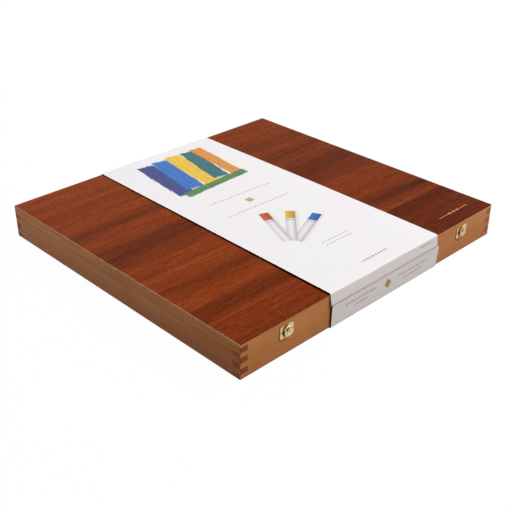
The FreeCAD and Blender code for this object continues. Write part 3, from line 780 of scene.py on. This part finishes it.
def card_piece(name, corners, radii, edges, move, body, nodes, material):
    """A thin card along a path, as wide as edges(y, z) says and moved by move(share, y, z)."""
    path = rounded_path(corners, radii)
    columns = round((band_right - band_left) / column_step)
    grid = []
    for y, z in path:
        left, right = edges(y, z)
        row = []
        for column in range(columns + 1):
            share = column / columns
            x = left + (right - left) * share
            row.append(Vector((x, y, z)) + move(share, y, z))
        grid.append(row)
    rows, width = len(grid), columns + 1
    points = []
    for side in (-0.5, 0.5):
        for i in range(rows):
            for j in range(width):
                along = grid[min(i + 1, rows - 1)][j] - grid[max(i - 1, 0)][j]
                across = grid[i][min(j + 1, columns)] - grid[i][max(j - 1, 0)]
                normal = along.cross(across).normalized()
                points.append(grid[i][j] + normal * card_thickness * side)
    faces = []
    total = rows * width
    for i in range(rows - 1):
        for j in range(columns):
            a = i * width + j
            quad = (a, a + 1, a + width + 1, a + width)
            faces.append(quad)
            faces.append(tuple(total + corner for corner in reversed(quad)))
    for j in range(columns):
        for a in (j, (rows - 1) * width + j):
            faces.append((a, a + 1, total + a + 1, total + a))
    for i in range(rows - 1):
        for a in (i * width, i * width + columns):
            faces.append((a, a + width, total + a + width, total + a))
    piece = build_mesh(name, points, faces, material, body)
    if nodes:
        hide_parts(*nodes)
    return piece


def share_between(value, low, high):
    return min(1.0, max(0.0, (value - low) / (high - low)))


def cover_edges(y, z):
    """The upper part's edges: the left one runs in towards the back, the right one bows out."""
    back_share = share_between(y, -half_depth, half_depth)
    left = band_left - cover_out + cover_left_skew * back_share
    right = band_right - cover_in + cover_right_skew * back_share
    right += cover_right_bow * math.sin(math.pi * back_share)
    if y < 0:
        left += flap_taper * share_between(-z, -lid_top, -lid_low)
    return left, right


def spine_edges(y, z):
    return cover_edges(half_depth, z)


def tray_edges(y, z):
    """The lower part's edges: its front flap flares to the right and has rounded top corners."""
    back_left, back_right = spine_edges(y, z)
    forward = share_between(-y, -half_depth, half_depth)
    left = back_left + (band_left + apron_left_in - back_left) * forward
    right = back_right + (band_right + apron_right_out - back_right) * forward
    right += apron_flare * share_between(z, 0, base_top) * forward
    if y < 0:
        corner = share_between(z, apron_top - apron_corner, apron_top)
        in_front = share_between(-y, half_depth - apron_turn, half_depth)
        narrow = (1 - math.sqrt(1 - corner ** 2)) * max(in_front, corner)
        left += apron_left_corner * narrow
        right -= apron_right_corner * narrow
    return left, right


def cover_wave(share, y, z):
    """How the upper part stands off: lifted at its left edge, lightly waved."""
    free = share_between(z, lid_low, lid_top)
    if y > 0:
        free = share_between(z, hinge_z + spine_reach, lid_top)
    forward = share_between(-y, -half_depth, half_depth)
    edge = 1 - share_between(share, 0, cover_lift_share)
    lift = (cover_lift + cover_front_lift * forward) * edge ** 2
    bulge = cover_bulge * math.sin(math.pi * share)
    at_back = share_between(y, half_depth - rear_curl_reach, half_depth)
    lift += rear_curl * at_back * math.sin(math.pi * share_between(share, *rear_curl_shares)) ** 2
    place = Vector((share * ripple_across, y * ripple_along, ripple_seed))
    ripple = cover_ripple * noise.noise(place)
    return Vector((0, 0, (lift + bulge * forward + ripple) * free))


def no_wave(share, y, z):
    return Vector((0, 0, 0))


def tray_wave(share, y, z):
    """The lower flap bows a little and stands off more at its ends."""
    in_front = share_between(-y, half_depth, half_depth + apron_wave_reach)
    height = share_between(z, card_thickness, apron_wave_top)
    bow = apron_bow * math.sin(math.pi * height) * math.sin(math.pi * share)
    left_end = share_between(share, apron_left_lift_share, 0)
    right_end = share_between(share, 1 - apron_right_lift_share, 1)
    ends = apron_lift * height * max(left_end, right_end)
    return Vector((0, -(bow + ends) * in_front, 0))


def card_band():
    card = white_card()
    half_card = card_thickness / 2
    back = half_depth + spine_gap + half_card
    cover_z = lid_top + cover_gap + half_card
    rim_z = lid_low - half_card
    upper = [
        (-half_depth + tuck_depth, rim_z),
        (-half_depth - flap_gap_bottom - half_card, rim_z),
        (-half_depth - flap_gap_top - half_card, cover_z),
        (back, cover_z),
        (back, hinge_z + spine_reach),
    ]
    upper_radii = (0, tuck_round, front_fold_round, back_fold_round, 0)
    upper_nodes = ["card_band_lid_half"]
    card_piece("band_cover", upper, upper_radii, cover_edges, cover_wave, "lid", upper_nodes, card)
    rim_z = base_top + half_card
    brow = Vector((-half_depth - apron_gap_top - half_card, apron_top + half_card))
    foot = Vector((-half_depth - apron_gap_bottom - half_card, half_card))
    corner_steps = 6
    lower = [(-half_depth + tuck_depth, rim_z), (-half_depth, rim_z), brow]
    for step in range(1, corner_steps + 1):
        down = apron_corner * step / corner_steps
        lower.append(brow.lerp(foot, down / (brow.y - foot.y)))
    lower += [foot, (back, half_card), (back, hinge_z - spine_reach)]
    lower_radii = (0, apron_round, brow_round, *[0] * corner_steps, under_round, back_fold_round, 0)
    lower_nodes = ["card_band_base_half"]
    card_piece("band_tray", lower, lower_radii, tray_edges, tray_wave, "base", lower_nodes, card)
    low, high = hinge_z - spine_reach, hinge_z + spine_reach
    steps = 24
    spine = [(back, low + (high - low) * step / steps) for step in range(steps + 1)]
    flat = [0] * (steps + 1)
    piece = card_piece("band_spine", spine, flat, spine_edges, no_wave, None, [], card)
    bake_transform(piece)


def rounded_stations(low, high, radius, step):
    """Grid lines from low to high, closer where the edge is rounded."""
    near_edge = [0.0, 0.08, 0.25, 0.5, 0.75, 1.0]
    inner = max(1, math.ceil((high - low - 2 * radius) / step))
    values = [low + radius * share for share in near_edge]
    span = high - low - 2 * radius
    values += [low + radius + span * index / inner for index in range(1, inner)]
    values += [high - radius * share for share in reversed(near_edge)]
    return values


def soft_block(name, low, high, radius, step, wave, body, node, material):
    """A block with rounded edges and a slightly uneven skin."""
    lines = [rounded_stations(low[axis], high[axis], radius, step) for axis in range(3)]
    points, faces = [], []
    for axis in range(3):
        first, second = [other for other in range(3) if other != axis]
        for side in (low[axis], high[axis]):
            start = len(points)
            for a in lines[first]:
                for b in lines[second]:
                    point = [0.0, 0.0, 0.0]
                    point[axis], point[first], point[second] = side, a, b
                    core = Vector(
                        min(max(point[k], low[k] + radius), high[k] - radius) for k in range(3)
                    )
                    off = Vector(point) - core
                    if off.length > 0:
                        off = off.normalized() * radius
                    place = core + off
                    skin = noise.noise(place * block_grain) * wave - wave
                    points.append(place + off.normalized() * skin)
            count = len(lines[second])
            for i in range(len(lines[first]) - 1):
                for j in range(count - 1):
                    a = start + i * count + j
                    faces.append((a, a + 1, a + count + 1, a + count))
    piece = build_mesh(name, points, faces, material, body)
    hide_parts(node)


def bed_outline(low, high):
    """The bed's section in X and Z, anticlockwise, with a round groove for each stick."""
    lip = 0.9 * mm
    dip = 0.3 * lip
    outline = [(low.x, low.z), (high.x, low.z), (high.x, high.z - lip)]
    outline += [(high.x - dip, high.z - dip), (high.x - lip, high.z)]
    steps = 20
    for column in reversed(range(column_count)):
        x = -inner_half_width + (column + 0.5) * column_pitch
        outline.append((x + groove_radius + lip, high.z))
        outline.append((x + groove_radius + 0.35 * lip, high.z - dip))
        outline.append((x + groove_radius, high.z - lip))
        for step in range(steps + 1):
            angle = -math.pi * step / steps
            outline.append((x + groove_radius * math.cos(angle), stick_z + groove_radius * math.sin(angle)))
        outline.append((x - groove_radius, high.z - lip))
        outline.append((x - groove_radius - 0.35 * lip, high.z - dip))
        outline.append((x - groove_radius - lip, high.z))
    outline += [(low.x + lip, high.z), (low.x + dip, high.z - dip), (low.x, high.z - lip)]
    return outline


def foam_bed(row_name, material):
    """One grooved bed, run along Y, softened at both ends."""
    node = f"foam_bed_{row_name}"
    low, high = (Vector(corner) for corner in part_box(node))
    outline = [Vector(point) for point in bed_outline(low, high)]
    count = len(outline)
    normals = []
    for index, point in enumerate(outline):
        along = (outline[(index + 1) % count] - outline[index - 1]).normalized()
        normals.append(Vector((along.y, -along.x)))
    end = 0.7 * mm
    stations = rounded_stations(low.y, high.y, end, 8 * mm)
    points, faces = [], []
    for y in stations:
        depth = min(y - low.y, high.y - y, end)
        inset = end - math.sqrt(max(0.0, end ** 2 - (end - depth) ** 2))
        for point, normal in zip(outline, normals):
            skin = bed_skin * (noise.noise(Vector((point.x, y, point.y)) * bed_grain) - 1)
            moved = point - normal * (inset - skin)
            points.append((moved.x, y, moved.y))
    for station in range(len(stations) - 1):
        for index in range(count):
            a, b = station * count + index, station * count + (index + 1) % count
            faces.append((a, b, b + count, a + count))
    faces.append(tuple(reversed(range(count))))
    faces.append(tuple(range((len(stations) - 1) * count, len(stations) * count)))
    piece = build_mesh(f"soft_bed_{row_name}", points, faces, material, "base")
    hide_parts(node)


def foam_pieces():
    foam = fine_foam()
    for row_name in ("front", "middle", "back"):
        foam_bed(row_name, foam)
    for row_name in ("front", "middle"):
        node = f"foam_strip_behind_{row_name}"
        low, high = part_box(node)
        radius, step, wave = 0.8 * mm, 8 * mm, 0.06 * mm
        soft_block(f"soft_strip_{row_name}", low, high, radius, step, wave, "base", node, foam)
    node = "lid_foam_pad"
    low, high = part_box(node)
    radius, step, wave = 1.4 * mm, 9 * mm, 0.15 * mm
    soft_block("soft_lid_pad", low, high, radius, step, wave, "lid", node, foam)


def aim_camera():
    forward = Vector(
        (
            math.sin(camera_yaw) * math.cos(camera_pitch),
            math.cos(camera_yaw) * math.cos(camera_pitch),
            -math.sin(camera_pitch),
        )
    )
    right = Vector((math.cos(camera_yaw), -math.sin(camera_yaw), 0))
    up = right.cross(forward)
    turn = Matrix((right, up, -forward)).transposed() @ Matrix.Rotation(camera_roll, 3, "Z")
    data = bpy.data.cameras.new("camera")
    data.lens = camera_lens
    data.sensor_width = 36
    data.clip_start = 0.01
    camera = bpy.data.objects.new("camera", data)
    camera.matrix_world = Matrix.Translation(camera_place) @ turn.to_4x4()
    bpy.context.scene.collection.objects.link(camera)
    bpy.context.scene.camera = camera


def soft_lamp(name, place, size, power, colour):
    data = bpy.data.lights.new(name, "AREA")
    data.shape = "SQUARE"
    data.size = size
    data.energy = power
    data.color = colour
    lamp = bpy.data.objects.new(name, data)
    lamp.location = place
    lamp.rotation_euler = (-Vector(place)).to_track_quat("-Z", "Y").to_euler()
    bpy.context.scene.collection.objects.link(lamp)


def seen_rays(nodes, links):
    """1 for rays that show the background itself, straight or in a reflection."""
    path = nodes.new("ShaderNodeLightPath")
    share = path.outputs["Is Camera Ray"]
    for other in ("Is Glossy Ray", "Is Transmission Ray"):
        largest = nodes.new("ShaderNodeMath")
        largest.operation = "MAXIMUM"
        links.new(share, largest.inputs[0])
        links.new(path.outputs[other], largest.inputs[1])
        share = largest.outputs[0]
    return share


def pale_world():
    world = bpy.data.worlds.new("studio")
    bpy.context.scene.world = world
    world.use_nodes = True
    nodes, links = world.node_tree.nodes, world.node_tree.links
    nodes.clear()
    seen, cast = nodes.new("ShaderNodeBackground"), nodes.new("ShaderNodeBackground")
    seen.inputs["Color"].default_value = (1, 1, 1, 1)
    cast.inputs["Color"].default_value = (1.0, 0.9, 0.88, 1)
    cast.inputs["Strength"].default_value = 0.35
    mixed, output = nodes.new("ShaderNodeMixShader"), nodes.new("ShaderNodeOutputWorld")
    links.new(seen_rays(nodes, links), mixed.inputs[0])
    links.new(cast.outputs[0], mixed.inputs[1])
    links.new(seen.outputs[0], mixed.inputs[2])
    links.new(mixed.outputs[0], output.inputs["Surface"])


def pale_floor():
    material = bpy.data.materials.new("pale_floor")
    material.use_nodes = True
    nodes, links = material.node_tree.nodes, material.node_tree.links
    nodes.clear()
    glow, matt = nodes.new("ShaderNodeEmission"), nodes.new("ShaderNodeBsdfDiffuse")
    shown = nodes.new("ShaderNodeMixShader")
    glow.inputs["Color"].default_value = (1, 1, 1, 1)
    glow.inputs["Strength"].default_value = 1.08
    matt.inputs["Color"].default_value = (0.3, 0.3, 0.3, 1)
    share = nodes.new("ShaderNodeMath")
    share.operation = "MULTIPLY"
    share.inputs[1].default_value = 0.9
    links.new(seen_rays(nodes, links), share.inputs[0])
    links.new(share.outputs[0], shown.inputs[0])
    links.new(matt.outputs[0], shown.inputs[1])
    links.new(glow.outputs[0], shown.inputs[2])
    output = nodes.new("ShaderNodeOutputMaterial")
    links.new(shown.outputs[0], output.inputs["Surface"])
    reach = 6.0
    mesh = bpy.data.meshes.new("floor")
    corners = [(-reach, -reach, 0), (reach, -reach, 0), (reach, reach, 0), (-reach, reach, 0)]
    mesh.from_pydata(corners, [], [(0, 1, 2, 3)])
    mesh.materials.append(material)
    floor = bpy.data.objects.new("floor", mesh)
    floor.location.z = -0.05 * mm
    bpy.context.scene.collection.objects.link(floor)


def light_scene():
    pale_world()
    pale_floor()
    soft_lamp("key", (2.1, -1.6, 3.2), 1.45, 133, (0.98, 1.0, 1.02))
    soft_lamp("back", (0.5, 1.7, 1.3), 1.2, 6, (1.0, 1.0, 1.0))


aim_camera()
light_scene()
dress_frame()
foam_pieces()
card_band()
bpy.context.scene.view_settings.view_transform = "Standard"
